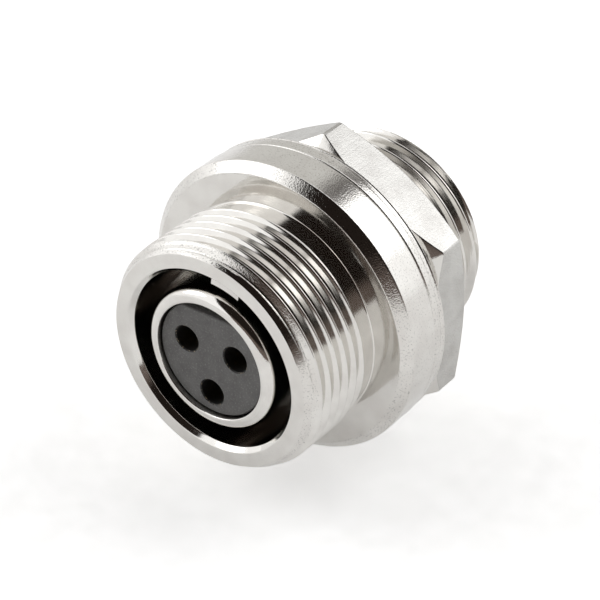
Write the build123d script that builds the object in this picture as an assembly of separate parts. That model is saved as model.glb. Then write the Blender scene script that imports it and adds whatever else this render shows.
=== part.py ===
from build123d import *
import math
import os

os.makedirs("parts", exist_ok=True)

# Panel socket with three contacts in the miniature audio size, with a threaded coupling collar.
# Millimetres. The axis is Y and the front looks along -Y. +Z is up: the flat of the contact
# insulator is on top and the third contact is at the bottom.
# The origin is on the axis, in the rear face of the flange, which seats on the panel.

# Coupling collar, in front of the flange
collar_major_radius = 6.95
collar_pitch = 0.75
collar_length = 6.0
collar_thread_length = 3.85
collar_face_radius = 6.44
collar_lead_length = 0.8
neck_radius = 6.6
neck_fillet = 0.1
coupling_bore_radius = 5.35
coupling_depth = 6.6
mouth_chamfer = 0.27

# Key rib in the bore of the collar
key_width = 1.85
key_height = 0.45
key_setback = 0.3
key_chamfer = 0.25
key_turn = 12.0

# Flange
flange_overhang = 2.45
flange_thickness = 2.5
flange_chamfer_radial = 0.55
flange_chamfer_axial = 0.5
flange_back_break = 0.08

# Threaded barrel, behind the flange
barrel_major_radius = 6.45
barrel_pitch = 1.0
barrel_length = 8.5
barrel_end_chamfer = 0.45
barrel_relief_width = 0.6
barrel_wall = 1.2
rear_bore_chamfer = 0.15

# Thread form: a 60 degree V with a flat crest and a flat root
thread_half_angle = 30.0
thread_depth_share = 0.6134
crest_flat_share = 0.125

# Web that carries the insert
web_thickness = 1.7
web_bore_clearance = 0.02

# Insert sleeve, the round nose that the mating part slides over
sleeve_outer_radius = 4.3
sleeve_inner_radius = 3.52
sleeve_setback = 0.0
sleeve_seat_rise = 0.25
sleeve_lip_outer_round = 0.6
sleeve_lip_inner_chamfer = 0.08
sleeve_flange_thickness = 0.8

# Contact insulator, in front. It is one moulding, modelled as three equal sectors, one round
# each contact. A step at the rear end holds it in the sleeve.
insulator_clearance = 0.08
insulator_setback = 0.28
insulator_flat_height = 2.85
insulator_edge_chamfer = 0.06
insulator_step_rise = 0.3
insulator_step_length = 1.6
insulator_step_play = 0.05

# Backing insulator, behind
backing_thickness = 4.3
backing_rim_width = 0.7
backing_rim_height = 0.25
stack_clearance = 0.05

# Retaining ring, snapped into a groove behind the backing insulator
ring_thickness = 0.8
ring_groove_play = 0.05
ring_groove_depth = 0.3
ring_groove_radial_play = 0.05
ring_width = 0.95
ring_gap_angle = 26.0

# Contacts: split sockets with solder cups
contact_circle_radius = 1.9
contact_circle_drop = 0.27
pin_diameter = 1.0
pin_clearance = 0.02
entry_hole_radius = 0.77
entry_hole_chamfer = 0.1
entry_hole_length = 1.35
tine_wall = 0.34
tine_swell = 0.06
tine_cavity_play = 0.14
tine_front_play = 0.1
tine_slit_width = 0.15
tine_slit_length = 4.0
contact_bore_extra = 0.9
contact_shoulder_radius = 1.2
contact_shoulder_length = 0.9
contact_hole_play = 0.03
tail_radius = 0.85
cup_radius = 0.98
cup_bore_radius = 0.68
cup_length = 3.4
cup_depth = 2.7
cup_window_length = 2.1
cup_standoff = 0.6

# Washer and nut, which clamp the panel
washer_thickness = 0.9
washer_rim_step = 0.05
washer_bore_play = 0.1
washer_edge_round = 0.12
nut_flat_inset = 0.9
nut_thickness = 3.25
nut_chamfer_angle = 30.0
nut_front_face_inset = 0.3
nut_rear_face_inset = 0.25
nut_thread_play = 0.05
nut_bore_chamfer = 0.25
seat_gap = 0.05

# Stations along the axis
collar_face_y = -flange_thickness - collar_length
flange_face_y = -flange_thickness
web_front_y = collar_face_y + coupling_depth
web_rear_y = web_front_y + web_thickness
sleeve_front_y = collar_face_y + sleeve_setback
sleeve_rear_y = web_rear_y + sleeve_flange_thickness
insulator_front_y = sleeve_front_y + insulator_setback
insulator_rear_y = sleeve_rear_y
backing_rear_y = insulator_rear_y + backing_thickness
ring_front_y = backing_rear_y + ring_groove_play
ring_rear_y = ring_front_y + ring_thickness
washer_front_y = seat_gap
washer_rear_y = washer_front_y + washer_thickness
nut_front_y = washer_rear_y + seat_gap
nut_rear_y = nut_front_y + nut_thickness

# Radii that follow from the fits
rear_bore_radius = barrel_major_radius - barrel_wall
ring_groove_radius = rear_bore_radius + ring_groove_depth
ring_outer_radius = ring_groove_radius - ring_groove_radial_play
ring_inner_radius = ring_outer_radius - ring_width
sleeve_flange_radius = rear_bore_radius - stack_clearance
sleeve_seat_radius = sleeve_outer_radius + sleeve_seat_rise
insulator_radius = sleeve_inner_radius - insulator_clearance
contact_bore_radius = pin_diameter / 2 + pin_clearance
tine_outer_radius = contact_bore_radius + tine_wall
tine_cavity_radius = tine_outer_radius + tine_cavity_play
insulator_step_radius = insulator_radius + insulator_step_rise
insulator_step_y = insulator_rear_y - insulator_step_length
shoulder_rear_y = insulator_rear_y + contact_shoulder_length
tine_front_y = insulator_front_y + entry_hole_length + tine_front_play
cup_front_y = backing_rear_y + cup_standoff
cup_rear_y = cup_front_y + cup_length
flange_radius = barrel_major_radius + flange_overhang
washer_outer_radius = flange_radius - washer_rim_step
nut_flat_radius = flange_radius - nut_flat_inset
nut_corner_radius = nut_flat_radius / math.cos(math.radians(30))
nut_front_face_radius = nut_flat_radius - nut_front_face_inset
nut_rear_face_radius = nut_flat_radius - nut_rear_face_inset


def revolve_profile(points, rounds=()):
    """Turn a closed outline of (radius, y) points once around the Y axis.

    Each entry of rounds is a corner of the outline and the radius that rounds it.
    """
    face = make_face(Polyline(*points, close=True))
    for x, y, radius in rounds:
        corner = face.vertices().sort_by_distance((x, y, 0))[0]
        face = fillet(corner, radius)
    return revolve(face, Axis.Y, 360)


def cylinder_y(radius, y_from, y_to, x=0.0, z=0.0):
    """Round bar along Y between two stations."""
    length = y_to - y_from
    bar = extrude(Plane.XZ * Circle(radius), length)
    return Pos(x, y_from + length, z) * bar


def box_between(x_from, x_to, y_from, y_to, z_from, z_to):
    """Box given by its limits."""
    size = (x_to - x_from, y_to - y_from, z_to - z_from)
    middle = ((x_from + x_to) / 2, (y_from + y_to) / 2, (z_from + z_to) / 2)
    return Pos(*middle) * Box(*size)


def thread_grooves(first_y, count, major_radius, pitch):
    """Outline points of closed V grooves, one pitch apart, each with a crest flat after it."""
    depth = thread_depth_share * pitch
    crest = crest_flat_share * pitch
    flank = depth * math.tan(math.radians(thread_half_angle))
    points = []
    for index in range(count):
        start = first_y + index * pitch
        points.append((major_radius, start))
        points.append((major_radius - depth, start + flank))
        points.append((major_radius - depth, start + pitch - crest - flank))
        points.append((major_radius, start + pitch - crest))
    return points


def contact_places():
    """Centres of the three contacts as (x, z): two above, the third at the bottom."""
    places = []
    for angle in (150, 30, 270):
        turn = math.radians(angle)
        x = contact_circle_radius * math.cos(turn)
        z = contact_circle_radius * math.sin(turn) - contact_circle_drop
        places.append((x, z))
    return places


def collar_outline():
    """Outer outline of the collar, from its front face back to the flange face."""
    crest_y = collar_face_y + collar_lead_length
    points = [(collar_face_radius, collar_face_y), (collar_major_radius, crest_y)]
    groove_y = crest_y + crest_flat_share * collar_pitch
    grooves = int(collar_thread_length / collar_pitch)
    points += thread_grooves(groove_y, grooves, collar_major_radius, collar_pitch)
    runout_y = groove_y + grooves * collar_pitch
    points += [(collar_major_radius, runout_y)]
    points += [(neck_radius, runout_y + collar_major_radius - neck_radius)]
    points += [(neck_radius, flange_face_y)]
    return points


def flange_outline():
    """Outer outline of the flange, from its front chamfer to its rear face."""
    return [
        (flange_radius - flange_chamfer_radial, flange_face_y),
        (flange_radius, flange_face_y + flange_chamfer_axial),
        (flange_radius, -flange_back_break),
        (flange_radius - flange_back_break, 0),
    ]


def barrel_outline():
    """Outer outline of the rear barrel: relief at the flange, thread, end chamfer."""
    depth = thread_depth_share * barrel_pitch
    root_radius = barrel_major_radius - depth
    last_crest_y = barrel_length - barrel_end_chamfer
    span = last_crest_y - barrel_relief_width - depth
    count = int(span / barrel_pitch)
    points = [(root_radius, 0), (root_radius, barrel_relief_width)]
    first_crest_y = last_crest_y - count * barrel_pitch
    points += [(barrel_major_radius, min(barrel_relief_width + depth, first_crest_y))]
    points += thread_grooves(first_crest_y, count, barrel_major_radius, barrel_pitch)
    points += [(barrel_major_radius, last_crest_y)]
    points += [(barrel_major_radius - barrel_end_chamfer, barrel_length)]
    return points


def shell_cavity_outline():
    """Inner outline, from the rear end forward: rear bore, ring groove, web, coupling bore."""
    groove_rear_y = ring_rear_y + ring_groove_play
    web_bore_radius = sleeve_seat_radius + web_bore_clearance
    return [
        (rear_bore_radius + rear_bore_chamfer, barrel_length),
        (rear_bore_radius, barrel_length - rear_bore_chamfer),
        (rear_bore_radius, groove_rear_y),
        (ring_groove_radius, groove_rear_y),
        (ring_groove_radius, backing_rear_y),
        (rear_bore_radius, backing_rear_y),
        (rear_bore_radius, web_rear_y),
        (web_bore_radius, web_rear_y),
        (web_bore_radius, web_front_y),
        (coupling_bore_radius, web_front_y),
        (coupling_bore_radius, collar_face_y + mouth_chamfer),
        (coupling_bore_radius + mouth_chamfer, collar_face_y),
    ]


def make_key_rib():
    """Rib on the bore wall of the collar, with its front edge chamfered."""
    inner_radius = coupling_bore_radius - key_height
    front_y = collar_face_y + key_setback
    ring = revolve_profile([
        (inner_radius, front_y + key_chamfer),
        (inner_radius + key_chamfer, front_y),
        (coupling_bore_radius + mouth_chamfer, front_y),
        (coupling_bore_radius + mouth_chamfer, web_front_y + mouth_chamfer),
        (inner_radius, web_front_y + mouth_chamfer),
    ])
    half = key_width / 2
    cutter = box_between(-half, half, front_y, web_front_y + mouth_chamfer, 0, flange_radius)
    return Rot(0, key_turn, 0) * (ring & cutter)


def make_shell_body():
    """One turned piece: threaded collar, neck, flange, threaded barrel, web and key rib."""
    outline = collar_outline() + flange_outline() + barrel_outline() + shell_cavity_outline()
    rounds = [(neck_radius, flange_face_y, neck_fillet)]
    return revolve_profile(outline, rounds) + make_key_rib()


def make_insert_sleeve():
    """Round nose with a rounded lip, a seat in the web and a flange behind it, stepped inside."""
    step_bore = insulator_step_radius + insulator_clearance
    points = [
        (sleeve_outer_radius, sleeve_front_y),
        (sleeve_outer_radius, web_front_y),
        (sleeve_seat_radius, web_front_y),
        (sleeve_seat_radius, web_rear_y),
        (sleeve_flange_radius, web_rear_y),
        (sleeve_flange_radius, sleeve_rear_y),
        (step_bore, sleeve_rear_y),
        (step_bore, insulator_step_y - insulator_step_play),
        (sleeve_inner_radius, insulator_step_y - insulator_step_play),
        (sleeve_inner_radius, sleeve_front_y + sleeve_lip_inner_chamfer),
        (sleeve_inner_radius + sleeve_lip_inner_chamfer, sleeve_front_y),
    ]
    return revolve_profile(points, [(sleeve_outer_radius, sleeve_front_y, sleeve_lip_outer_round)])


def insulator_stem():
    """Whole stem of the front insulator: round, with a flat on top and a step at the rear."""
    edge = insulator_edge_chamfer
    body = revolve_profile([
        (0, insulator_front_y),
        (insulator_radius - edge, insulator_front_y),
        (insulator_radius, insulator_front_y + edge),
        (insulator_radius, insulator_step_y),
        (insulator_step_radius, insulator_step_y),
        (insulator_step_radius, insulator_rear_y),
        (0, insulator_rear_y),
    ])
    reach = flange_radius
    above_flat = box_between(-reach, reach, collar_face_y, insulator_rear_y, insulator_flat_height, reach)
    return body - above_flat


def insulator_hole(x, z):
    """Stepped hole for one contact: chamfered entry, then the cavity for the tines."""
    cavity_front_y = insulator_front_y + entry_hole_length
    rim = entry_hole_chamfer
    hole = revolve_profile([
        (0, insulator_front_y),
        (entry_hole_radius + rim, insulator_front_y),
        (entry_hole_radius, insulator_front_y + rim),
        (entry_hole_radius, cavity_front_y),
        (tine_cavity_radius, cavity_front_y),
        (tine_cavity_radius, insulator_rear_y),
        (0, insulator_rear_y),
    ])
    return Pos(x, 0, z) * hole


def make_insulator_sector(x, z):
    """The third of the front insulator that surrounds one contact."""
    outward = math.degrees(math.atan2(x, z + contact_circle_drop))
    reach = flange_radius
    side = reach * math.tan(math.radians(60))
    third = make_face(Polyline((0, 0), (side, reach), (-side, reach), close=True))
    length = insulator_rear_y - insulator_front_y
    cutter = Rot(0, outward, 0) * extrude(Plane.XZ * third, length)
    cutter = Pos(0, insulator_rear_y, -contact_circle_drop) * cutter
    return (insulator_stem() & cutter) - insulator_hole(x, z)


def make_insulator_rear():
    """Backing disc with a pocket for each contact shoulder and a raised rim against the ring."""
    rim_inner_radius = sleeve_flange_radius - backing_rim_width
    floor_y = backing_rear_y - backing_rim_height
    pocket_radius = contact_shoulder_radius + contact_hole_play
    disc = revolve_profile([
        (0, insulator_rear_y),
        (sleeve_flange_radius, insulator_rear_y),
        (sleeve_flange_radius, backing_rear_y),
        (rim_inner_radius, backing_rear_y),
        (rim_inner_radius, floor_y),
        (0, floor_y),
    ])
    for x, z in contact_places():
        disc -= cylinder_y(tail_radius + contact_hole_play, insulator_rear_y, backing_rear_y, x, z)
        disc -= cylinder_y(pocket_radius, insulator_rear_y, shoulder_rear_y, x, z)
    return disc


def make_retaining_ring():
    """Open snap ring that sits in the groove of the rear bore."""
    ring = revolve_profile([
        (ring_inner_radius, ring_front_y),
        (ring_outer_radius, ring_front_y),
        (ring_outer_radius, ring_rear_y),
        (ring_inner_radius, ring_rear_y),
    ])
    half_gap = math.radians(ring_gap_angle / 2)
    reach = flange_radius
    side = reach * math.tan(half_gap)
    wedge = make_face(Polyline((0, 0), (side, reach), (-side, reach), close=True))
    cutter = extrude(Plane.XZ * wedge, ring_thickness)
    return ring - Pos(0, ring_rear_y, 0) * cutter


def contact_blank():
    """Turned blank of one contact on its own axis, without slits and cup window."""
    bore_rear_y = tine_front_y + tine_slit_length + contact_bore_extra
    mouth = tine_wall / 2
    swell_y = tine_front_y + tine_slit_length * 0.35
    cup_step = cup_radius - tail_radius
    drill = math.tan(math.radians(30)) * contact_bore_radius
    return revolve_profile([
        (0, bore_rear_y + drill),
        (contact_bore_radius, bore_rear_y),
        (contact_bore_radius, tine_front_y + mouth),
        (contact_bore_radius + mouth, tine_front_y),
        (tine_outer_radius - mouth / 2, tine_front_y),
        (tine_outer_radius, tine_front_y + mouth / 2),
        (tine_outer_radius - tine_swell, swell_y),
        (tine_outer_radius, tine_front_y + tine_slit_length),
        (tine_outer_radius, insulator_rear_y),
        (contact_shoulder_radius, insulator_rear_y),
        (contact_shoulder_radius, shoulder_rear_y),
        (tail_radius, shoulder_rear_y),
        (tail_radius, cup_front_y),
        (cup_radius, cup_front_y + cup_step),
        (cup_radius, cup_rear_y),
        (cup_bore_radius, cup_rear_y),
        (cup_bore_radius, cup_rear_y - cup_depth),
        (0, cup_rear_y - cup_depth),
    ])


def make_contact(x, z):
    """Split socket contact: four tines in front, shoulder, solder cup open to the outside."""
    body = contact_blank()
    half = tine_slit_width / 2
    reach = contact_shoulder_radius
    slit_rear_y = tine_front_y + tine_slit_length
    body -= box_between(-half, half, tine_front_y, slit_rear_y, -reach, reach)
    body -= box_between(-reach, reach, tine_front_y, slit_rear_y, -half, half)
    window_y = cup_rear_y - cup_window_length
    body -= box_between(-reach, reach, window_y, cup_rear_y, 0, reach)
    outward = math.degrees(math.atan2(x, z + contact_circle_drop))
    return Pos(x, 0, z) * (Rot(0, outward, 0) * body)


def make_washer():
    """Stamped flat washer between the flange and the nut."""
    bore = barrel_major_radius + washer_bore_play
    points = [
        (bore, washer_front_y),
        (washer_outer_radius, washer_front_y),
        (washer_outer_radius, washer_rear_y),
        (bore, washer_rear_y),
    ]
    return revolve_profile(points, [(washer_outer_radius, washer_front_y, washer_edge_round)])


def make_hex_nut():
    """Hexagon nut with a corner on top, chamfered at both faces and at the bore."""
    slope = math.tan(math.radians(nut_chamfer_angle))
    front_drop = (nut_corner_radius - nut_front_face_radius) * slope
    rear_drop = (nut_corner_radius - nut_rear_face_radius) * slope
    bore = barrel_major_radius + nut_thread_play
    prism = extrude(Plane.XZ * RegularPolygon(nut_corner_radius, 6, rotation=90), nut_thickness)
    prism = Pos(0, nut_rear_y, 0) * prism
    turned = revolve_profile([
        (bore, nut_front_y + nut_bore_chamfer),
        (bore + nut_bore_chamfer, nut_front_y),
        (nut_front_face_radius, nut_front_y),
        (nut_corner_radius, nut_front_y + front_drop),
        (nut_corner_radius, nut_rear_y - rear_drop),
        (nut_rear_face_radius, nut_rear_y),
        (bore + nut_bore_chamfer, nut_rear_y),
        (bore, nut_rear_y - nut_bore_chamfer),
    ])
    return prism & turned


def build_parts():
    """All pieces by node name."""
    pieces = {
        "shell_body": make_shell_body(),
        "insert_sleeve": make_insert_sleeve(),
        "insulator_rear": make_insulator_rear(),
        "retaining_ring": make_retaining_ring(),
        "washer": make_washer(),
        "hex_nut": make_hex_nut(),
    }
    for number, (x, z) in enumerate(contact_places(), start=1):
        pieces[f"insulator_front_{number}"] = make_insulator_sector(x, z)
        pieces[f"contact_{number}"] = make_contact(x, z)
    return pieces


for name, shape in build_parts().items():
    export_step(shape, f"parts/{name}.step")
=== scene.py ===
import math
from functools import partial
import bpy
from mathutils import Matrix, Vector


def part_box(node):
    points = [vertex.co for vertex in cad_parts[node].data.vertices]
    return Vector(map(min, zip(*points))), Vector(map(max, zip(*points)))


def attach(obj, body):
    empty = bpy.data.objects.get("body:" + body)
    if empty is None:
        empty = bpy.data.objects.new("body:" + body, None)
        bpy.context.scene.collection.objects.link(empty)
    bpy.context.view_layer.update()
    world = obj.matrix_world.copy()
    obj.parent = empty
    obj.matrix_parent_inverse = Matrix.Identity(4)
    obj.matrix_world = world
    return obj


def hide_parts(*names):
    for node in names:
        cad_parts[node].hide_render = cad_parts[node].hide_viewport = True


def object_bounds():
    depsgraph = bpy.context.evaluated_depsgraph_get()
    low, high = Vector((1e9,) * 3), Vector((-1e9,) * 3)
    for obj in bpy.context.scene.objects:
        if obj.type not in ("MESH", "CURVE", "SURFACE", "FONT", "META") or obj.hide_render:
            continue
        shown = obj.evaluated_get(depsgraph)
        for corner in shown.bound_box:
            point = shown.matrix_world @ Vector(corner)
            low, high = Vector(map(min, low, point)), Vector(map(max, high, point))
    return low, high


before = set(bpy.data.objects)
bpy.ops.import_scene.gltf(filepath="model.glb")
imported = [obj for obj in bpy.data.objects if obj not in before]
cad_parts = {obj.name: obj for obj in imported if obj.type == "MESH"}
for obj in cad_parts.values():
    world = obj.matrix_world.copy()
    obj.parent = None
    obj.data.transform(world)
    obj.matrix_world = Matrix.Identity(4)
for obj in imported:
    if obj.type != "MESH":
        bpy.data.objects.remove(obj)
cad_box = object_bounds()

from types import SimpleNamespace

import bmesh
import bpy
from bpy.props import FloatProperty, FloatVectorProperty, PointerProperty
from mathutils import Matrix, Vector

bl_info = {
    "name": "Three contact panel socket",
    "version": (1, 0, 0),
    "blender": (4, 5, 0),
    "location": "3D View > Sidebar > Socket",
    "description": "Dresses the packed panel socket with threads, plated metal and moulded plastic",
    "category": "Object",
}

MM = 0.001
PER_MM = 1 / MM
FULL_TURN = 2 * math.pi
AROUND = 192          # vertices round the axis, so that the six nut corners fall on vertices
MERGE = 2e-6          # metres: vertices closer than this are one
TOUCH = 1e-8          # metres: a vertex this close to a cutting plane lies in it
GUARD = 0.06 * MM     # a ring this far from a rounding keeps the flat beside it flat
SLIVER = 0.01         # mm: slack where the place of a face is compared with a size
ROUND_SEGMENTS = 4
PICTURE_WIDTH = 600
WHITE = (1, 1, 1, 1)

# Threads: millimetres, unless a comment says otherwise
FLANK = math.radians(30)      # slope of a flank, half of the angle between two
FLANK_PARTS = (0, 0.1, 0.35, 0.65, 0.9)
ROOT_ANGLES = (60, 40, 20)    # degrees: points on the rounded root
CREST_WEAR = 0.02             # width of the worn edge of a crest
CREST_DROP = 0.002            # how far the crest has sunk where that edge starts
SHOULDER_DROP = 0.025         # and where the flank starts
SPARE_TURNS = 1.01            # turns past each end, which are then pressed onto the end ring
RISE = 0.02                   # width of the last step from the root up to the neck
FREE = 99.0                   # a radius that holds nothing back
COLLAR_TURNS = 5              # full turns of the coupling thread
COLLAR_START = -7.55          # station of one crest of the coupling thread at the side
BARREL_START = 0.577          # the same for the barrel and the nut, which share one helix

# Nut
HALF_SECTOR = math.radians(30)            # half of a hexagon's sixth
NUT_SLOPE = math.tan(math.radians(30))    # of the chamfers on both faces
BLANK_SPARE = 0.05            # mm that the turned blank stands over the corners
SINK_SLOPE = 0.6              # depth of the countersink to its width
BORE_ZONE = 0.8               # mm over the barrel's crest: what lies nearer is the nut's bore

# Scales of the noise, as patches in a metre, each from a size in millimetres
LATHE = 9 * PER_MM            # marks 0.02 mm apart would not show, so they are 0.11 mm apart
LATHE_RADIAL = 0.77           # lets the marks go on across cones and faces
LATHE_WANDER = 1.4            # how little a mark changes on its way round
BAR_LINES = (8 * PER_MM, 0.5 * PER_MM, 8 * PER_MM)    # lines 2 mm long, 0.12 mm apart
PEEL = 12 * PER_MM            # orange peel of the plating, and the painted shade in its low places, 0.08 mm
THIN_PATCH = 0.7 * PER_MM     # patches of thin plating, 1.4 mm
FIBRE = 9 * PER_MM            # fibre ends, really 0.02 mm, drawn 0.11 mm to show at all
MOULD_PATCH = 1.1 * PER_MM    # paler and darker places in the moulding, 0.9 mm
MOULD_GRAIN = 5.2 * PER_MM    # spark eroded grain of the mould, 0.19 mm
TABLE_GRAIN = 0.9 * PER_MM    # mottling of the table top, 1.1 mm


def at(node, corner, axis):
    """One coordinate of a CAD node's box at rest, in millimetres."""
    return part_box(node)[corner][axis] / MM


def linear(hex_colour):
    """Linear RGBA of an sRGB hex colour."""
    parts = [int(hex_colour[i:i + 2], 16) / 255 for i in (1, 3, 5)]
    return (*[p / 12.92 if p <= 0.04045 else ((p + 0.055) / 1.055) ** 2.4 for p in parts], 1.0)


def length(name, description, value):
    """A length property with its default in millimetres."""
    return FloatProperty(name=name, description=description, default=value * MM, min=0.0,
                         unit="LENGTH", subtype="DISTANCE", precision=5)


def share(name, description, value):
    """A property for a part of a whole."""
    return FloatProperty(name=name, description=description, default=value, min=0.0, max=1.0,
                         subtype="FACTOR", precision=4)


def level(name, description, value):
    """A property for a strength of light."""
    return FloatProperty(name=name, description=description, default=value, min=0.0)


def colour(name, description, value):
    """A colour property with its default as an sRGB hex colour."""
    return FloatVectorProperty(name=name, description=description, default=linear(value),
                               size=4, min=0.0, max=1.0, subtype="COLOR")


def own_settings(group):
    """Names of a group's own settings."""
    return [name for name in group.bl_rna.properties.keys() if name not in ("rna_type", "name")]


def read(group):
    """A group's settings by name, with its lengths in millimetres."""
    values = {}
    for name in own_settings(group):
        value = getattr(group, name)
        is_length = group.bl_rna.properties[name].unit == "LENGTH"
        values[name] = value / MM if is_length else value
    return SimpleNamespace(**values)


class SocketThread(bpy.types.PropertyGroup):
    """Pitches and form of the threads."""
    collar_pitch: length("Collar pitch", "Advance of the coupling thread in one turn", 0.75)
    barrel_pitch: length("Barrel pitch", "Advance of the barrel's and the nut's thread", 1.0)
    depth_share: share("Depth share", "Depth of a thread as a share of its pitch", 0.6134)
    crest_share: share("Crest share", "Flat on a crest as a share of the pitch", 0.11)
    play: length("Play", "Clearance between the nut's thread and the barrel's", 0.09)


class SocketShell(bpy.types.PropertyGroup):
    """Sizes of the turned shell."""
    collar_crest: length("Collar crest", "Crest radius of the coupling thread", 6.95)
    collar_face: length("Collar face", "Outer radius of the collar's front face", 6.44)
    lead_length: length("Lead length", "Depth of the lead cone at the collar's front", 0.8)
    neck: length("Neck", "Radius of the undercut behind the thread", 6.6)
    neck_fillet: length("Neck fillet", "Rounding between neck and flange", 0.1)
    bore: length("Bore", "Radius of the coupling bore", 5.35)
    mouth: length("Mouth", "Chamfer at the bore's mouth", 0.27)
    flange: length("Flange", "Radius of the flange", 8.9)
    flange_depth: length("Flange depth", "Thickness of the flange", 2.5)
    flange_chamfer: length("Flange chamfer", "Radial width of the flange's front chamfer", 0.55)
    chamfer_depth: length("Chamfer depth", "Depth of the flange's front chamfer", 0.5)
    barrel_crest: length("Barrel crest", "Crest radius of the rear thread", 6.45)
    barrel_chamfer: length("Barrel chamfer", "Chamfer at the rear end", 0.45)
    relief: length("Relief", "Width of the undercut behind the flange", 0.6)
    undercut: length("Undercut", "Radius of the undercut behind the flange", 5.837)
    rear_bore: length("Rear bore", "Radius of the rear bore", 5.25)
    rear_mouth: length("Rear mouth", "Chamfer at the mouth of the rear bore", 0.15)
    groove_front: length("Groove front", "Front of the snap ring's groove behind the flange", 4.9)
    groove_rear: length("Groove rear", "Rear of the snap ring's groove behind the flange", 5.8)
    groove_depth: length("Groove depth", "Depth of the snap ring's groove", 0.3)
    web_front: length("Web front", "Front of the inner web before the flange's rear", 1.9)
    web_rear: length("Web rear", "Rear of the inner web before the flange's rear", 0.2)
    web_bore: length("Web bore", "Radius of the hole in the inner web", 4.57)
    key_width: length("Key width", "Width of the key rib", 1.85)
    key_height: length("Key height", "Height of the key rib over the bore wall", 0.45)
    key_setback: length("Key setback", "Distance of the key rib behind the collar's face", 0.3)
    key_chamfer: length("Key chamfer", "Chamfer at the front of the key rib", 0.08)


class SocketInsert(bpy.types.PropertyGroup):
    """Sizes of the sleeve, the insulators and the contact holes."""
    sleeve_outer: length("Sleeve outer", "Outer radius of the nose", 4.3)
    lip: length("Lip", "Rounding of the nose's lip", 0.6)
    sleeve_inner: length("Sleeve inner", "Inner radius of the nose", 3.52)
    waist: length("Waist", "How far the sleeve is thicker inside the web", 0.25)
    tail: length("Tail", "Radius of the sleeve behind the web", 5.2)
    tail_bore: length("Tail bore", "Inner radius of the sleeve behind its step", 3.82)
    step: length("Step", "Place of the inner step before the flange's rear", 1.05)
    insulator: length("Insulator", "Radius of the contact insulator", 3.44)
    flat: length("Flat", "Height of the insulator's flat over the axis", 2.85)
    flat_round: length("Flat rounding", "Rounding of the two corners of the flat", 0.35)
    edge: length("Edge", "Chamfer round the insulator's face", 0.06)
    shoulder: length("Shoulder", "How far the insulator's shoulder stands out", 0.3)
    shoulder_depth: length("Shoulder depth", "Length of the insulator's shoulder", 1.6)
    hole: length("Hole", "Radius of an entry hole", 0.77)
    rim: length("Rim", "Worn chamfer round an entry hole", 0.06)
    circle: length("Circle", "Radius of the circle of the contacts", 1.9)
    entry: length("Entry", "Depth of the narrow entry of a hole", 1.35)
    drop: length("Drop", "How far the contact circle's centre lies below the axis", 0.27)


class SocketFastening(bpy.types.PropertyGroup):
    """Sizes of the washer and the nut."""
    washer_bore: length("Washer bore", "Inner radius of the washer", 6.55)
    washer_round: length("Washer round", "Rolled edge of the stamped washer", 0.12)
    nut_flats: length("Nut flats", "Distance across the nut's flats", 16.0)
    nut_edge: length("Nut edge", "Rounding of the nut's edges", 0.05)
    nut_front: length("Nut front", "Radius where the front chamfer starts", 7.7)
    nut_rear: length("Nut rear", "Radius where the rear chamfer starts", 7.75)
    nut_mouth: length("Nut mouth", "Radius of the thread's countersink at the faces", 6.75)
    corner_round: length("Corner rounding", "Rounding of the bar's six corners", 0.3)


class SocketFinish(bpy.types.PropertyGroup):
    """Colours of the finishes."""
    nickel: colour("Nickel", "Bright nickel plating", "#E0DEDA")
    nickel_shade: colour("Nickel shade", "Nickel where the plating is thin", "#D7D4D0")
    # Painted shade: a dark colour laid on the low places of the plating's orange peel, where shade
    # would fall
    painted_pit_shade: colour("Pit", "Bottom of a pit in the plating", "#4A4541")
    bar: colour("Bar skin", "Nickel on the matt skin of the nut's bar", "#C9C8C5")
    bar_shade: colour("Bar shade", "Dull spots on the skin of the nut's bar", "#B9B7B4")
    plastic: colour("Plastic", "Black moulded plastic", "#605F5E")
    plastic_speck: colour("Plastic speck", "Glass fibre ends in the plastic", "#A5A39F")
    # Painted shade: the same plastic darkened nearly to black inside the holes, where little light
    # reaches
    painted_hole_shade: colour("Hole wall", "Plastic inside the contact holes", "#1B1A19")
    hole_rim: colour("Hole rim", "Worn rim of the contact holes", "#9C8D76")
    gold: colour("Gold", "Thin gold plating of the contacts", "#E3C27A")
    spring: colour("Spring steel", "Oiled spring steel", "#8F8E8C")
    floor: colour("Floor", "Pale table top", "#F4F4F3")


class SocketStudio(bpy.types.PropertyGroup):
    """Light of the studio."""
    surround: level("Surround", "Level of the white walls", 1.25)
    glow: level("Floor glow", "Light that the floor adds on camera rays", 0.46)
    room: colour("Room", "Dark room round the camera", "#1F1A17")
    room_low: colour("Room low", "The same room close to the table", "#665C57")
    grey_wall: colour("Grey wall", "Wall at the left back", "#C7C6C3")
    gap: colour("Gap", "Gap between the grey wall and the white one", "#686563")
    seam: colour("Seam", "Seam in the roof", "#D2D0CE")
    below: colour("Below", "What lies under the horizon", "#D4D2CF")


# Tools for meshes: outlines that are turned, threads, loops, cuts and roundings

def round_off(bm, geom, size, affect, segments=ROUND_SEGMENTS, clamp=False):
    """Round corners or edges with a radius in millimetres."""
    bmesh.ops.bevel(bm, geom=geom, offset=size * MM, offset_type="OFFSET", segments=segments,
                    profile=0.5, affect=affect, material=-1, clamp_overlap=clamp)


def spin(bm, geom, angle=FULL_TURN, steps=AROUND, advance=0.0, merge=False):
    """Spin geometry round the axis, on a helix where it advances."""
    bmesh.ops.spin(bm, geom=geom, cent=(0, 0, 0), axis=(0, 1, 0), dvec=(0, advance, 0),
                   angle=angle, steps=steps, use_merge=merge, use_normal_flip=False,
                   use_duplicate=False)


def only(kind, geom):
    """Vertices, edges or faces out of what an operator made."""
    return [g for g in geom if isinstance(g, kind)]


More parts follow.
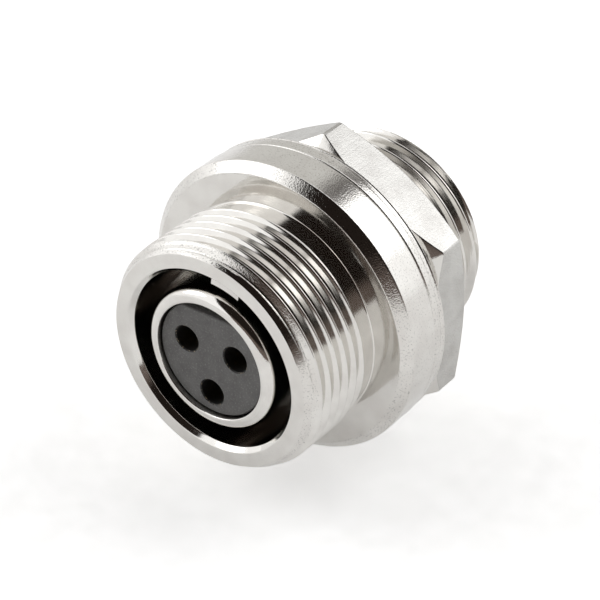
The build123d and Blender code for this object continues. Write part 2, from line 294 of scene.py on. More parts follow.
def cut_away(bm, point, outward, close=True):
    """Cut off what lies beyond a plane and close the cut."""
    geom = list(bm.verts) + list(bm.edges) + list(bm.faces)
    cut = bmesh.ops.bisect_plane(bm, geom=geom, dist=TOUCH, plane_co=point, plane_no=outward,
                                 clear_outer=True, clear_inner=False)
    if close:
        bmesh.ops.edgeloop_fill(bm, edges=only(bmesh.types.BMEdge, cut["geom_cut"]))


def sharp_edges(bm, degrees):
    """Edges whose two faces meet at more than an angle."""
    least = math.radians(degrees)
    return [e for e in bm.edges if e.is_manifold and e.calc_face_angle() > least]


def draw_outline(bm, corners, closed):
    """Wire in the plane of the axis through (radius, y, rounding) corners, in millimetres.

    Each rounded corner is bevelled, and a point beside it keeps the flat next to it flat.
    """
    wire = []
    rounded = {}
    count = len(corners)
    for index, (radius, y, rounding) in enumerate(corners):
        here = Vector((radius * MM, y * MM, 0))
        sides = [corners[(index + step) % count] for step in (-1, 1)]
        if not closed and index in (0, count - 1):
            sides[0 if index == 0 else 1] = None
        before, after = [guard_point(here, side, rounding) for side in sides]
        if before is not None:
            wire.append(bm.verts.new(before))
        corner = bm.verts.new(here)
        wire.append(corner)
        if rounding:
            rounded.setdefault(rounding, []).append(corner)
        if after is not None:
            wire.append(bm.verts.new(after))
    pairs = list(zip(wire, wire[1:]))
    if closed:
        pairs.append((wire[-1], wire[0]))
    for pair in pairs:
        bm.edges.new(pair)
    for rounding, verts in rounded.items():
        round_off(bm, verts, rounding, "VERTICES")


def guard_point(here, side, rounding):
    """Point beside a corner on its way to the next one, or None where there is no room."""
    if side is None:
        return None
    there = Vector((side[0] * MM, side[1] * MM, 0))
    gap = (there - here).length
    step = rounding * MM + GUARD
    if gap < step + side[2] * MM + 2 * GUARD:
        return None
    return here.lerp(there, step / gap)


def turn(bm, corners, closed=False):
    """Spin an outline once round the axis."""
    old = set(bm.verts)
    draw_outline(bm, corners, closed)
    verts = [v for v in bm.verts if v not in old]
    edges = list({e for v in verts for e in v.link_edges})
    spin(bm, verts + edges, merge=True)


def limit(stations, y):
    """Radius at y on a line through (y, radius) stations."""
    if y <= stations[0][0]:
        return stations[0][1]
    for (y0, r0), (y1, r1) in zip(stations, stations[1:]):
        if y <= y1:
            return r0 + (r1 - r0) * (y - y0) / (y1 - y0)
    return stations[-1][1]


def thread_outline(crest, pitch, form):
    """One groove from crest to crest, as (advance, radius) points."""
    middle, bottom = pitch / 2, crest - form.depth_share * pitch
    half = form.crest_share * pitch / 2
    root_round = (middle - half) / math.tan(FLANK) - form.depth_share * pitch
    root = [(middle - root_round * math.sin(angle), bottom + root_round * (1 - math.cos(angle)))
            for angle in map(math.radians, ROOT_ANGLES)]
    shoulder = Vector((half + CREST_WEAR / 2, crest - SHOULDER_DROP))
    # Points close to both ends keep the flank flat, because its two ends are shaded smooth
    flank = [tuple(shoulder.lerp(Vector(root[0]), part)) for part in FLANK_PARTS]
    shape = [(0, crest), (half - CREST_WEAR, crest - CREST_DROP)] + flank + root
    return shape + [(middle, bottom)] + [(pitch - y, r) for y, r in reversed(shape)]


def cut_thread(bm, crest, pitch, phase, form, floor, ceiling):
    """Helical thread between the first and last station, held between floor and ceiling.

    One turn is spun with its advance and then repeated. What lies past an end is pressed onto
    the end ring, where the doubles merge, so the thread starts and runs out as a cut one does.
    """
    first, last = ceiling[0][0], ceiling[-1][0]
    start = phase - pitch * math.ceil((phase - first) / pitch + SPARE_TURNS)
    turns = math.ceil((last - start) / pitch + SPARE_TURNS)
    thread = bmesh.new()
    wire = [thread.verts.new((r * MM, (start + y) * MM, 0))
            for y, r in thread_outline(crest, pitch, form)]
    edges = [thread.edges.new(pair) for pair in zip(wire, wire[1:])]
    spin(thread, wire + edges, advance=pitch * MM / AROUND)
    one_turn = list(thread.verts) + list(thread.edges) + list(thread.faces)
    for number in range(1, turns):
        copy = only(bmesh.types.BMVert, bmesh.ops.duplicate(thread, geom=one_turn)["geom"])
        bmesh.ops.translate(thread, verts=copy, vec=(0, number * pitch * MM, 0))
    for vert in thread.verts:
        radius = math.hypot(vert.co.x, vert.co.z)
        y = min(max(vert.co.y / MM, first), last)
        held = min(max(radius / MM, limit(floor, y)), limit(ceiling, y)) * MM
        vert.co = (vert.co.x * held / radius, y * MM, vert.co.z * held / radius)
    bmesh.ops.remove_doubles(thread, verts=thread.verts, dist=MERGE)
    join_into(bm, thread)


def to_mesh(bm, name):
    """Turn a bmesh into a mesh and free it."""
    mesh = bpy.data.meshes.new(name)
    bm.to_mesh(mesh)
    bm.free()
    return mesh


def put_in_scene(name, data):
    """Object at the origin, linked to the scene."""
    made = bpy.data.objects.new(name, data)
    bpy.context.scene.collection.objects.link(made)
    return made


def join_into(bm, other):
    """Add another bmesh to this one and free it."""
    mesh = to_mesh(other, "joined")
    bm.from_mesh(mesh)
    bpy.data.meshes.remove(mesh)


def circle_loop(bm, radius, y, x=0.0, z=0.0, count=AROUND):
    """Circle of edges across the axis, in millimetres."""
    place = Matrix.Translation((x * MM, y * MM, z * MM)) @ Matrix.Rotation(math.pi / 2, 4, "X")
    verts = bmesh.ops.create_circle(bm, cap_ends=False, radius=radius * MM, segments=count,
                                    matrix=place)["verts"]
    return list({e for v in verts for e in v.link_edges})


def flat_topped_loop(bm, radius, flat, y, rounding):
    """Start a mesh with a circle of edges cut off at a height, its two corners rounded."""
    circle_loop(bm, radius, y)
    cut_away(bm, (0, 0, flat * MM), (0, 0, 1), close=False)
    ends = [v for v in bm.verts if len(v.link_edges) == 1]
    bm.edges.new(ends)
    round_off(bm, ends, rounding, "VERTICES", segments=5)
    return list(bm.edges)


def pull_loop(bm, edges, y, scale=1.0, x=0.0, z=0.0):
    """Extrude a loop to station y, scaled about (x, z). Returns the new loop."""
    made = bmesh.ops.extrude_edge_only(bm, edges=edges)["geom"]
    fresh = set(only(bmesh.types.BMVert, made))
    for vert in fresh:
        vert.co = (x * MM + (vert.co.x - x * MM) * scale, y * MM,
                   z * MM + (vert.co.z - z * MM) * scale)
    return [e for e in only(bmesh.types.BMEdge, made) if set(e.verts) <= fresh]


def fill(bm, edges):
    """Flat face with holes between loops that lie in one plane."""
    bmesh.ops.triangle_fill(bm, use_beauty=True, use_dissolve=False, edges=edges)


def place_piece(bm, name, nodes, body, materials, sharp=40):
    """Close the mesh, point its faces outwards and make it a piece on its CAD body."""
    bmesh.ops.remove_doubles(bm, verts=bm.verts, dist=MERGE)
    bmesh.ops.recalc_face_normals(bm, faces=bm.faces)
    open_edges = [e for e in bm.edges if len(e.link_faces) != 2]
    if open_edges:
        spots = sorted({tuple(round(c / MM, 2) for c in e.verts[0].co) for e in open_edges})
        raise RuntimeError(f"{name} has {len(open_edges)} open edges, such as {spots[:6]}")
    mesh = to_mesh(bm, name)
    mesh.shade_smooth()
    mesh.set_sharp_from_angle(angle=math.radians(sharp))
    piece = put_in_scene(name, mesh)
    for material in materials:
        mesh.materials.append(material)
    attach(piece, body)
    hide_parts(*nodes)
    return piece


def dress_node(name, material):
    """Give a carried-over CAD node its material."""
    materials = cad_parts[name].data.materials
    materials.clear()
    materials.append(material)


def weigh_normals(piece):
    """Let wide faces set the shading, so that flats beside small roundings stay flat."""
    weighted = piece.modifiers.new("weighted_normals", "WEIGHTED_NORMAL")
    weighted.mode = "FACE_AREA"
    weighted.weight = 90
    weighted.keep_sharp = True


# Tools for materials, and the finishes

def add_node(tree, kind, inputs=None, stops=(), **settings):
    """Add a node with its settings, its values, its links and the stops of its ramp."""
    node = tree.nodes.new(kind)
    for name, value in settings.items():
        setattr(node, name, value)
    feed(node, inputs or {})
    if stops:
        elements = node.color_ramp.elements
        while len(elements) < len(stops):
            elements.new(0.5)
        for element, (position, value) in zip(elements, stops):
            element.position = position
            element.color = value
    return node


def feed(node, inputs):
    """Set or link a node's inputs. A node given as a value stands for its first output."""
    for name, value in inputs.items():
        if isinstance(value, bpy.types.Node):
            value = next(socket for socket in value.outputs if socket.enabled)
        if isinstance(value, bpy.types.NodeSocket):
            node.id_data.links.new(value, node.inputs[name])
        else:
            node.inputs[name].default_value = value


def new_material(name):
    """Empty material with a Principled shader, and what adds a node to it."""
    material = bpy.data.materials.new(name)
    material.use_nodes = True
    tree = material.node_tree
    tree.nodes.clear()
    add = partial(add_node, tree)
    shader = add("ShaderNodeBsdfPrincipled")
    add("ShaderNodeOutputMaterial", {"Surface": shader})
    return material, add, shader


def plated_metal(name, finish, roughness, turned=0.0, drawn=0.0, stipple=0.0, pit_shade_strength=0.0,
                 base="nickel", shade="nickel_shade"):
    """Plating over brass or steel: a mirror that the marks under it break up.

    turned, drawn and stipple are the depths, in millimetres, of the lathe marks round the axis,
    of the lines along the bar and of the fine orange peel of the plating. pits is how far the low
    places of that orange peel are darkened towards the painted shade colour, from 0 to 1. base and
    shade name the colours of the plating and of its thin patches.
    """
    material, add, shader = new_material(name)
    place = add("ShaderNodeTexCoord").outputs["Object"]
    # Lathe marks: noise that changes along the outline and hardly round the axis
    across = add("ShaderNodeVectorMath", {0: place, 1: (1, 0, 1)}, operation="MULTIPLY")
    radius = add("ShaderNodeVectorMath", {0: across}, operation="LENGTH")
    around = add("ShaderNodeVectorMath", {0: across}, operation="NORMALIZE")
    y = add("ShaderNodeSeparateXYZ", {0: place}).outputs["Y"]
    outline = add("ShaderNodeMath", {0: radius, 1: LATHE_RADIAL, 2: y}, operation="MULTIPLY_ADD")
    fine = add("ShaderNodeMath", {0: outline, 1: LATHE}, operation="MULTIPLY")
    slow = add("ShaderNodeVectorMath", {0: around, "Scale": LATHE_WANDER}, operation="SCALE")
    ring_place = add("ShaderNodeCombineXYZ", {"X": fine})
    ring_vector = add("ShaderNodeVectorMath", {0: ring_place, 1: slow}, operation="ADD")
    rings = add("ShaderNodeTexNoise", {"Vector": ring_vector, "Scale": 1.0, "Detail": 2.0})
    # Drawn lines: noise that changes round the axis and hardly along it
    line_place = add("ShaderNodeVectorMath", {0: place, 1: BAR_LINES}, operation="MULTIPLY")
    lines = add("ShaderNodeTexNoise", {"Vector": line_place, "Scale": 1.0, "Detail": 3.0})
    peel = add("ShaderNodeTexNoise", {"Vector": place, "Scale": PEEL, "Detail": 3.0})
    cloud = add("ShaderNodeTexNoise", {"Vector": place, "Scale": THIN_PATCH, "Detail": 4.0})
    bump = None
    for texture, depth in ((rings, turned), (lines, drawn), (peel, stipple)):
        if depth:
            inputs = {"Height": texture, "Distance": depth * MM, "Strength": 1.0}
            if bump:
                inputs["Normal"] = bump
            bump = add("ShaderNodeBump", inputs)
    tint = add("ShaderNodeValToRGB", {"Fac": cloud},
               stops=[(0.3, getattr(finish, shade)), (0.62, getattr(finish, base))])
    # Painted shade: the low places of the orange peel are darkened, as shade would fall in them
    if pit_shade_strength:
        pit_shade_mask = add("ShaderNodeMapRange",
                   {"Value": peel, "From Min": 0.42, "From Max": 0.34, "To Max": pit_shade_strength})
        tint = add("ShaderNodeMix", {"Factor": pit_shade_mask, "A": tint, "B": finish.painted_pit_shade}, data_type="RGBA")
    rough = add("ShaderNodeMapRange", {
        "Value": peel, "From Min": 0.3, "From Max": 0.7,
        "To Min": roughness * 0.75, "To Max": roughness * 1.35})
    feed(shader, {"Metallic": 1.0, "Base Color": tint, "Roughness": rough, "Normal": bump})
    return material


def moulded_plastic(name, base, speck, most):
    """Glass filled black polyester from a spark eroded mould.

    It is matt, grey under bright light, with pale fibre ends that show as specks. most is the
    share of the speck's colour in the middle of a speck.
    """
    material, add, shader = new_material(name)
    place = add("ShaderNodeTexCoord").outputs["Object"]
    fibres, patches, grain = [
        add("ShaderNodeTexNoise", {"Vector": place, "Scale": scale, "Detail": detail})
        for scale, detail in ((FIBRE, 2.0), (MOULD_PATCH, 3.0), (MOULD_GRAIN, 4.0))]
    shown = add("ShaderNodeMapRange",
                {"Value": fibres, "From Min": 0.55, "From Max": 0.7, "To Max": most})
    tone = add("ShaderNodeMapRange",
               {"Value": patches, "From Min": 0.3, "From Max": 0.7, "To Min": 0.85, "To Max": 1.2})
    body = add("ShaderNodeVectorMath", {0: base[:3], "Scale": tone}, operation="SCALE")
    mixed = add("ShaderNodeMix", {"Factor": shown, "A": body, "B": speck}, data_type="RGBA")
    bump = add("ShaderNodeBump", {"Height": grain, "Distance": 0.02 * MM, "Strength": 0.9})
    rough = add("ShaderNodeMapRange", {"Value": grain, "To Min": 0.45, "To Max": 0.65})
    feed(shader, {"Base Color": mixed, "Roughness": rough, "Normal": bump})
    return material


# Pieces, one operator each

class SOCKET_OT_shell(bpy.types.Operator):
    """Model the turned shell with its helical threads and its key rib"""
    bl_idname = "socket.shell"
    bl_label = "Turned shell"

    def execute(self, context):
        scene = context.scene
        shell, form = read(scene.socket_shell), read(scene.socket_thread)
        face_y, end_y = at("shell_body", 0, 1), at("shell_body", 1, 1)
        crest_y = face_y + shell.lead_length
        bm = bmesh.new()
        self.add_outside(bm, shell, form, face_y, crest_y, end_y)
        self.add_inside(bm, shell, face_y, end_y)
        self.add_key(bm, shell, face_y)
        # The plating grew coarse on the cones and on the drawn rim, and stayed smooth elsewhere
        flange_y = -shell.flange_depth
        chamfer_y = flange_y + shell.chamfer_depth
        chamfer_foot = shell.flange - 2 * shell.flange_chamfer
        for face in bm.faces:
            middle = face.calc_center_median() / MM
            radius = math.hypot(middle.x, middle.z)
            on_cone = middle.y < crest_y and radius > shell.collar_face + SLIVER
            on_chamfer = flange_y < middle.y < chamfer_y and radius > chamfer_foot
            on_rim = radius > shell.flange - 2 * SLIVER
            face.material_index = 2 if on_rim else 1 if on_cone or on_chamfer else 0
        finish = scene.socket_finish
        # Turned and plated: a clear mirror with faint rings
        smooth = plated_metal("nickel_plated_brass_turned", finish, roughness=0.1,
                              turned=0.0015, stipple=0.0003)
        # Coarse plating on the cones: a mirror broken into small bright and dark spots, the dark
        # ones partly painted shade in the low places of the peel
        coarse = plated_metal("nickel_plated_brass_cone", finish, roughness=0.08,
                              stipple=0.011, pit_shade_strength=0.45)
        # The drawn skin of the bar under the plating: the same spots, with painted shade in the low
        # places of the peel, and lines along the axis
        drawn = plated_metal("nickel_plated_brass_rim", finish, roughness=0.09,
                             drawn=0.003, stipple=0.009, pit_shade_strength=0.25)
        place_piece(bm, "turned_shell", ["shell_body"], "shell",
                    [smooth, coarse, drawn])
        return {"FINISHED"}

    def add_outside(self, bm, shell, form, face_y, crest_y, end_y):
        """Both threads, and the neck and the flange between them."""
        crest, pitch, neck = shell.collar_crest, form.collar_pitch, shell.neck
        runout = crest_y + (form.crest_share + COLLAR_TURNS) * pitch
        neck_y = runout + crest - neck
        root = crest - form.depth_share * pitch
        cut_thread(bm, crest, pitch, COLLAR_START, form,
                   floor=[(face_y, 0.0), (runout - RISE, root), (neck_y - RISE, neck),
                          (neck_y, neck)],
                   ceiling=[(face_y, shell.collar_face), (crest_y, crest), (runout, crest),
                            (neck_y, neck)])
        flange, flange_y = shell.flange, -shell.flange_depth
        turn(bm, [
            (neck, neck_y, 0), (neck, flange_y, shell.neck_fillet),
            (flange - shell.flange_chamfer, flange_y, 0.03),
            (flange, flange_y + shell.chamfer_depth, 0.05), (flange, 0, 0.08),
            (shell.undercut, 0, 0.1), (shell.undercut, shell.relief, 0),
        ])
        barrel, chamfer = shell.barrel_crest, shell.barrel_chamfer
        cut_thread(bm, barrel, form.barrel_pitch, BARREL_START, form,
                   floor=[(shell.relief, 0.0), (end_y - 0.1, 0.0), (end_y, barrel - chamfer)],
                   ceiling=[(shell.relief, shell.undercut),
                            (shell.relief + barrel - shell.undercut, barrel),
                            (end_y - chamfer, barrel), (end_y, barrel - chamfer)])

    def add_inside(self, bm, shell, face_y, end_y):
        """Rear bore with the snap ring's groove, the inner web and the coupling bore."""
        rear, bore, web_y = shell.rear_bore, shell.bore, -shell.web_front
        groove = rear + shell.groove_depth
        turn(bm, [
            (shell.barrel_crest - shell.barrel_chamfer, end_y, 0),
            (rear + shell.rear_mouth, end_y, 0.03), (rear, end_y - shell.rear_mouth, 0.03),
            (rear, shell.groove_rear, 0.02), (groove, shell.groove_rear, 0),
            (groove, shell.groove_front, 0), (rear, shell.groove_front, 0.02),
            (rear, -shell.web_rear, 0), (shell.web_bore, -shell.web_rear, 0.02),
            (shell.web_bore, web_y, 0.02), (bore, web_y, 0.1),
            (bore, face_y + shell.mouth, 0.04), (bore + shell.mouth, face_y, 0.04),
            (shell.collar_face, face_y, 0),
        ])

    def add_key(self, bm, shell, face_y):
        """Key rib with parallel sides, its root sunk into the bore wall."""
        sunk, short, half_angle, lean, edge = 0.25, 0.2, math.radians(16), math.radians(12), 0.04
        inner, outer = shell.bore - shell.key_height, shell.bore + sunk
        front, rear = face_y + shell.key_setback, short - shell.web_front
        rib = bmesh.new()
        section = [(inner, front + shell.key_chamfer), (inner + shell.key_chamfer, front),
                   (outer, front), (outer, rear), (inner, rear)]
        rib.faces.new([rib.verts.new((0, y * MM, r * MM)) for r, y in section])
        bmesh.ops.rotate(rib, verts=rib.verts, cent=(0, 0, 0),
                         matrix=Matrix.Rotation(-half_angle, 3, "Y"))
        spin(rib, list(rib.faces) + list(rib.edges) + list(rib.verts), angle=2 * half_angle,
             steps=16)
        for side in (-1, 1):
            cut_away(rib, (side * shell.key_width / 2 * MM, 0, 0), (side, 0, 0))
        bmesh.ops.recalc_face_normals(rib, faces=rib.faces)
        round_off(rib, sharp_edges(rib, 30), edge, "EDGES", segments=2, clamp=True)
        bmesh.ops.rotate(rib, verts=rib.verts, cent=(0, 0, 0),
                         matrix=Matrix.Rotation(lean, 3, "Y"))
        join_into(bm, rib)


class SOCKET_OT_sleeve(bpy.types.Operator):
    """Model the round nose with its rolled lip"""
    bl_idname = "socket.sleeve"
    bl_label = "Insert sleeve"

    def execute(self, context):
        scene = context.scene
        insert, shell = read(scene.socket_insert), read(scene.socket_shell)
        front, rear = at("insert_sleeve", 0, 1), at("insert_sleeve", 1, 1)
        outer, inner, waist = insert.sleeve_outer, insert.sleeve_inner, insert.waist
        web_front, web_rear, step = -shell.web_front, -shell.web_rear, -insert.step
        bm = bmesh.new()
        turn(bm, [
            (outer, front, insert.lip), (outer, web_front, 0.02),
            (outer + waist, web_front, 0.02), (outer + waist, web_rear, 0.02),
            (insert.tail, web_rear, 0.03), (insert.tail, rear, 0.03),
            (insert.tail_bore, rear, 0.03), (insert.tail_bore, step, 0.02),
            (inner, step, 0.02), (inner, front, 0.09),
        ], closed=True)
        # Turned, polished and plated: a bright mirror with a faint orange peel
        polished = plated_metal("nickel_plated_brass_polished", scene.socket_finish,
                                roughness=0.08, turned=0.0015, stipple=0.0016)
        place_piece(bm, "nose_sleeve", ["insert_sleeve"], "shell", [polished])
        return {"FINISHED"}


class SOCKET_OT_insulators(bpy.types.Operator):
    """Model the front and dress the rear contact insulator"""
    bl_idname = "socket.insulators"
    bl_label = "Insulators"

    def execute(self, context):
        insert, finish = read(context.scene.socket_insert), context.scene.socket_finish
        # The moulding is dark grey with pale specks. Inside the holes its colour is painted near
        # black as shade, and the pins of the plugs have scraped the rims brown, in specks over that
        # painted shade
        plastic = moulded_plastic("glass_filled_polyester", finish.plastic,
                                  finish.plastic_speck, 0.3)
        hole_shade_plastic = moulded_plastic("glass_filled_polyester_wall", finish.painted_hole_shade,
                               finish.plastic, 0.1)
        worn_rim_over_shade = moulded_plastic("glass_filled_polyester_rim", finish.painted_hole_shade,
                               finish.hole_rim, 1.0)
        places = self.contact_places(insert)
        radius, edge, hole, rim = insert.insulator, insert.edge, insert.hole, insert.rim
        front, rear = at("insulator_front_1", 0, 1), at("insulator_front_1", 1, 1)
        shoulder_y = rear - insert.shoulder_depth
        bm = bmesh.new()
        outline = flat_topped_loop(bm, radius - edge, insert.flat - edge, front,
                                   insert.flat_round)
        holes = [circle_loop(bm, hole + rim, front, x, z, 64) for x, z in places]
        fill(bm, outline + [e for loop in holes for e in loop])
        for y, scale in ((front + edge, radius / (radius - edge)), (shoulder_y, 1.0),
                         (shoulder_y, (radius + insert.shoulder) / radius), (rear, 1.0)):
            outline = pull_loop(bm, outline, y, scale)
        ends = []
        entry_y = front + insert.entry
        for loop, (x, z) in zip(holes, places):
            for y, scale in ((front + rim, hole / (hole + rim)), (entry_y, 1.0),
                             (entry_y, 1.0 / hole), (rear, 1.0)):
                loop = pull_loop(bm, loop, y, scale, x, z)
            ends += loop
        fill(bm, outline + ends)
        for face in bm.faces:
            middle = face.calc_center_median() / MM
            off = min(math.hypot(middle.x - x, middle.z - z) for x, z in places)
            # Faces in the holes take the painted hole shade, and faces on the rims take the brown
            # wear over it
            if front + SLIVER < middle.y < rear - SLIVER and off < hole + rim:
                face.material_index = 2 if middle.y < front + rim else 1
        place_piece(bm, "front_insulator", ["insulator_front_1", "insulator_front_2",
                    "insulator_front_3"], "shell", [plastic, hole_shade_plastic, worn_rim_over_shade], sharp=35)
        dress_node("insulator_rear", plastic)
        return {"FINISHED"}

    def contact_places(self, insert):
        """Centres of the three contacts as (x, z) in millimetres."""
        turns = [math.radians(angle) for angle in (150, 30, 270)]
        return [(insert.circle * math.cos(t), insert.circle * math.sin(t) - insert.drop)
                for t in turns]


class SOCKET_OT_contacts(bpy.types.Operator):
    """Dress the split contacts and the snap ring"""
    bl_idname = "socket.contacts"
    bl_label = "Contacts and snap ring"

    def execute(self, context):
        finish = context.scene.socket_finish
        # A flash of gold over turned brass: warm, with soft rings
        gold = plated_metal("gold_flashed_brass", finish, roughness=0.2, turned=0.004,
                            stipple=0.003, base="gold", shade="gold")
        # Drawn wire with a film of oil: grey, with lines
        spring = plated_metal("oiled_spring_steel", finish, roughness=0.3, drawn=0.004,
                              stipple=0.004, base="spring", shade="spring")
        for number in (1, 2, 3):
            dress_node(f"contact_{number}", gold)
        dress_node("retaining_ring", spring)
        return {"FINISHED"}


class SOCKET_OT_washer(bpy.types.Operator):
    """Model the stamped washer with its rolled and torn edge"""
    bl_idname = "socket.washer"
    bl_label = "Stamped washer"

    def execute(self, context):
        sizes, finish = read(context.scene.socket_fastening), context.scene.socket_finish
        front, rear = at("washer", 0, 1), at("washer", 1, 1)
        outer, bore = at("washer", 1, 0), sizes.washer_bore
        # The punch shears the first part of the thickness and tears the rest a little smaller
        tear = front + (rear - front) * 0.55
        bm = bmesh.new()
        turn(bm, [
            (bore, front, 0.06), (outer, front, sizes.washer_round), (outer, tear, 0.02),
            (outer - 0.03, tear + 0.05, 0.02), (outer - 0.04, rear - 0.12, 0.02),
            (outer, rear - 0.03, 0.015), (outer, rear, 0.015), (bore, rear, 0.04),
        ], closed=True)
        # Plated over the stamped edge: bright, with lines and painted shade in the low places of
        # the peel
        stamped = plated_metal("nickel_plated_steel_stamped", finish, roughness=0.14,
                               drawn=0.003, stipple=0.009, pit_shade_strength=0.5)
        place_piece(bm, "clamp_washer", ["washer"], "washer", [stamped])
        return {"FINISHED"}


class SOCKET_OT_nut(bpy.types.Operator):
    """Model the hexagon nut from a turned blank with six flats and a helical thread"""
    bl_idname = "socket.nut"
    bl_label = "Hexagon nut"

    def execute(self, context):
        scene = context.scene
        sizes, form = read(scene.socket_fastening), read(scene.socket_thread)
        front, rear = at("hex_nut", 0, 1), at("hex_nut", 1, 1)
        barrel = read(scene.socket_shell).barrel_crest
        blank = sizes.nut_flats / 2 / math.cos(HALF_SECTOR) + BLANK_SPARE
        mouth, face, back = sizes.nut_mouth, sizes.nut_front, sizes.nut_rear
        bm = bmesh.new()
        turn(bm, [
            (mouth, front, 0), (face, front, 0), (blank, front + (blank - face) * NUT_SLOPE, 0),
            (blank, rear - (blank - back) * NUT_SLOPE, 0), (back, rear, 0), (mouth, rear, 0),
        ])
        self.cut_flats(bm, sizes)
        major = barrel + form.play
        minor = major - form.depth_share * form.barrel_pitch
        sink = (mouth - minor) * SINK_SLOPE
        cut_thread(bm, major, form.barrel_pitch, BARREL_START, form,
                   ceiling=[(front, FREE), (rear, FREE)],
                   floor=[(front, mouth), (front + sink, minor), (rear - sink, minor),
                          (rear, mouth)])
        # The flats keep the matt skin of the drawn bar; the faces and chamfers are turned
        for face in bm.faces:
            middle = face.calc_center_median() / MM
            outside = math.hypot(middle.x, middle.z) > barrel + BORE_ZONE
            face.material_index = 0 if outside and abs(face.normal.y) < 0.3 else 1
        finish = scene.socket_finish
        # The skin of the bar under the plating: a soft, grainy grey, with faint painted shade in
        # the low places of the peel
        bar = plated_metal("nickel_plated_brass_bar", finish, roughness=0.26, drawn=0.003,
                           stipple=0.006, pit_shade_strength=0.2, base="bar", shade="bar_shade")
        # Turned faces: a mirror with faint rings
        cut = plated_metal("nickel_plated_brass_chamfer", finish, roughness=0.1,
                           turned=0.002, stipple=0.003)
        nut = place_piece(bm, "hexagon_nut", ["hex_nut"], "nut", [bar, cut])
        weigh_normals(nut)
        return {"FINISHED"}

    def cut_flats(self, bm, sizes):
        """Cut the six flats and the rounded corners off the turned blank, and soften edges."""
        apothem, corner = sizes.nut_flats / 2, sizes.corner_round
        centre = (apothem - corner) / math.cos(HALF_SECTOR)
        planes = [(0, apothem)] + [(30 + step, centre * math.cos(math.radians(step)) + corner)
                                   for step in (-20, -10, 0, 10, 20)]
        for number in range(6):
            for degrees, reach in planes:
                angle = math.radians(60 * number + degrees)
                outward = Vector((math.cos(angle), 0, math.sin(angle)))
                cut_away(bm, outward * reach * MM, outward)
        bmesh.ops.remove_doubles(bm, verts=bm.verts, dist=MERGE)
        round_off(bm, sharp_edges(bm, 18), sizes.nut_edge, "EDGES", segments=2)


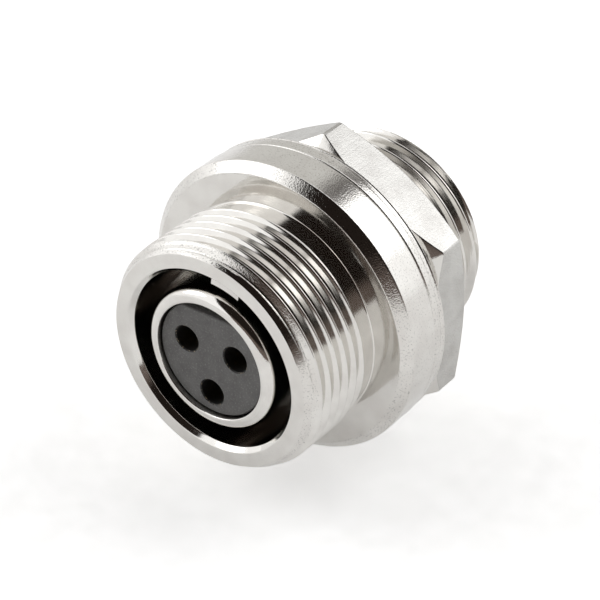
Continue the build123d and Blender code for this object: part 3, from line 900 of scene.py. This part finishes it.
class SOCKET_OT_stage(bpy.types.Operator):
    """Set up the table, the light and the camera"""
    bl_idname = "socket.stage"
    bl_label = "Stage"

    def execute(self, context):
        scene = context.scene
        self.add_floor(scene)
        self.add_light(scene)
        self.add_camera(scene)
        scene.view_settings.view_transform = "Standard"
        return {"FINISHED"}

    def add_floor(self, scene):
        """Large pale table top that keeps the socket's shadow."""
        half_side, gap = 1.5, 0.02 * MM
        bm = bmesh.new()
        bmesh.ops.create_grid(bm, x_segments=2, y_segments=2, size=half_side)
        bmesh.ops.translate(bm, verts=bm.verts, vec=(0, 0, cad_box[0][2] - gap))
        mesh = to_mesh(bm, "table_top")
        # Matt white laminate: no gloss. Its glow reaches the camera and mirrors, not the shadow
        material, add, shader = new_material("matt_white_table")
        place = add("ShaderNodeTexCoord").outputs["Object"]
        grain = add("ShaderNodeTexNoise", {"Vector": place, "Scale": TABLE_GRAIN})
        tone = add("ShaderNodeValToRGB", {"Fac": grain},
                   stops=[(0.3, scene.socket_finish.floor), (0.7, WHITE)])
        path = add("ShaderNodeLightPath").outputs
        mirrored = 0.55
        seen = add("ShaderNodeMath",
                   {0: path["Is Glossy Ray"], 1: mirrored, 2: path["Is Camera Ray"]},
                   operation="MULTIPLY_ADD")
        glow = add("ShaderNodeMath", {0: seen, 1: scene.socket_studio.glow}, operation="MULTIPLY")
        feed(shader, {"Base Color": tone, "Roughness": 0.9, "Specular IOR Level": 0.0,
                      "Emission Color": WHITE, "Emission Strength": glow})
        mesh.materials.append(material)
        floor = put_in_scene("table_top", mesh)

    def add_light(self, scene):
        """Softbox walls: white at the left front and the right back, grey at the left back, and
        the dark room round the camera between them, which metal facing the camera mirrors."""
        studio = scene.socket_studio
        world = bpy.data.worlds.new("light_tent")
        scene.world = world
        world.use_nodes = True
        tree = world.node_tree
        tree.nodes.clear()
        add = partial(add_node, tree)
        way = add("ShaderNodeTexCoord").outputs["Generated"]
        x, y, z = add("ShaderNodeSeparateXYZ", {0: way}).outputs
        # In front: the white wall up to an edge that leans, then the room, lighter at the table
        room = add("ShaderNodeValToRGB", {"Fac": z},
                   stops=[(0.17, studio.room_low), (0.31, studio.room)])
        lean = add("ShaderNodeMath", {0: z, 1: 0.2, 2: x}, operation="MULTIPLY_ADD")
        side = add("ShaderNodeMapRange", {"Value": lean, "From Min": -0.22, "From Max": -0.18})
        front = add("ShaderNodeMix", {"Factor": side, "A": WHITE, "B": room}, data_type="RGBA")
        # Behind: the grey wall, the gap and the white wall, under a white roof with a seam
        across = add("ShaderNodeMapRange", {"Value": x, "From Min": -1.0})
        walls = add("ShaderNodeValToRGB", {"Fac": across}, stops=[
            (0.40, studio.grey_wall), (0.455, studio.gap), (0.53, studio.gap), (0.575, WHITE)])
        roof = add("ShaderNodeValToRGB", {"Fac": across}, stops=[
            (0.635, WHITE), (0.655, studio.seam), (0.675, studio.seam), (0.695, WHITE)])
        high = add("ShaderNodeMapRange", {"Value": z, "From Min": 0.8, "From Max": 0.87})
        behind = add("ShaderNodeMix", {"Factor": high, "A": walls, "B": roof}, data_type="RGBA")
        # The two halves meet over the socket, on a line that rises towards the back
        raised = add("ShaderNodeMath", {0: z, 1: 0.3, 2: y}, operation="MULTIPLY_ADD")
        turned = add("ShaderNodeMapRange", {"Value": raised, "From Min": 0.42, "From Max": 0.5})
        above = add("ShaderNodeMix", {"Factor": turned, "A": front, "B": behind}, data_type="RGBA")
        rise = add("ShaderNodeMapRange", {"Value": z, "From Min": -0.06, "From Max": -0.02})
        tent = add("ShaderNodeMix", {"Factor": rise, "A": studio.below, "B": above},
                   data_type="RGBA")
        lit = add("ShaderNodeVectorMath", {0: tent, "Scale": studio.surround}, operation="SCALE")
        # The camera itself sees plain white
        path = add("ShaderNodeLightPath").outputs
        sky = add("ShaderNodeMix", {"Factor": path["Is Camera Ray"], "A": lit, "B": WHITE},
                  data_type="RGBA")
        background = add("ShaderNodeBackground", {"Color": sky})
        add("ShaderNodeOutputWorld", {"Surface": background})
        # Lamps with their places and sizes in metres and their power in watts
        for name, spot, size, power in (("left_softbox", (-0.22, -0.12, 0.14), 0.16, 0.09),
                                        ("right_softbox", (0.18, 0.20, 0.26), 0.26, 0.2)):
            lamp = bpy.data.lights.new(name, "AREA")
            lamp.shape = "DISK"
            lamp.size = size
            lamp.energy = power
            holder = put_in_scene(name, lamp)
            holder.location = spot
            holder.rotation_euler = (-Vector(spot)).to_track_quat("-Z", "Y").to_euler()

    def add_camera(self, scene):
        """Camera at the place that the circles and the nut in the photograph give."""
        right = Vector((0.79615, 0.60507, -0.00625))
        up = Vector((-0.34048, 0.45650, 0.82200))
        back = Vector((0.50022, -0.65231, 0.56945))
        place = Vector((66.89, -87.59, 75.67)) * MM
        focal_pixels = 2400
        data = bpy.data.cameras.new("camera")
        data.sensor_width = 36
        data.lens = data.sensor_width * focal_pixels / PICTURE_WIDTH
        data.clip_start, data.clip_end = 0.01, 10
        camera = put_in_scene("camera", data)
        turned = Matrix((right, up, back)).transposed().to_4x4()
        camera.matrix_world = Matrix.Translation(place) @ turned
        scene.camera = camera


class SOCKET_PT_panel(bpy.types.Panel):
    """Pieces of the socket and their sizes"""
    bl_idname = "SOCKET_PT_panel"
    bl_label = "Panel socket"
    bl_space_type = "VIEW_3D"
    bl_region_type = "UI"
    bl_category = "Socket"

    def draw(self, context):
        for operator in OPERATORS:
            self.layout.operator(operator.bl_idname)
        for name in GROUPS:
            box = self.layout.box()
            group = getattr(context.scene, name)
            for setting in own_settings(group):
                box.prop(group, setting)


GROUPS = {
    "socket_thread": SocketThread,
    "socket_shell": SocketShell,
    "socket_insert": SocketInsert,
    "socket_fastening": SocketFastening,
    "socket_finish": SocketFinish,
    "socket_studio": SocketStudio,
}
OPERATORS = (
    SOCKET_OT_shell,
    SOCKET_OT_sleeve,
    SOCKET_OT_insulators,
    SOCKET_OT_contacts,
    SOCKET_OT_washer,
    SOCKET_OT_nut,
    SOCKET_OT_stage,
)


def register():
    """Register the settings, the operators and the panel."""
    for name, group in GROUPS.items():
        bpy.utils.register_class(group)
        setattr(bpy.types.Scene, name, PointerProperty(type=group))
    for operator in OPERATORS:
        bpy.utils.register_class(operator)
    bpy.utils.register_class(SOCKET_PT_panel)


def unregister():
    """Take everything back out, in the opposite order."""
    bpy.utils.unregister_class(SOCKET_PT_panel)
    for operator in reversed(OPERATORS):
        bpy.utils.unregister_class(operator)
    for name, group in reversed(list(GROUPS.items())):
        delattr(bpy.types.Scene, name)
        bpy.utils.unregister_class(group)


def main():
    """Register the add-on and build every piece."""
    register()
    bpy.ops.socket.shell()
    bpy.ops.socket.sleeve()
    bpy.ops.socket.insulators()
    bpy.ops.socket.contacts()
    bpy.ops.socket.washer()
    bpy.ops.socket.nut()
    bpy.ops.socket.stage()


if __name__ == "__main__":
    main()
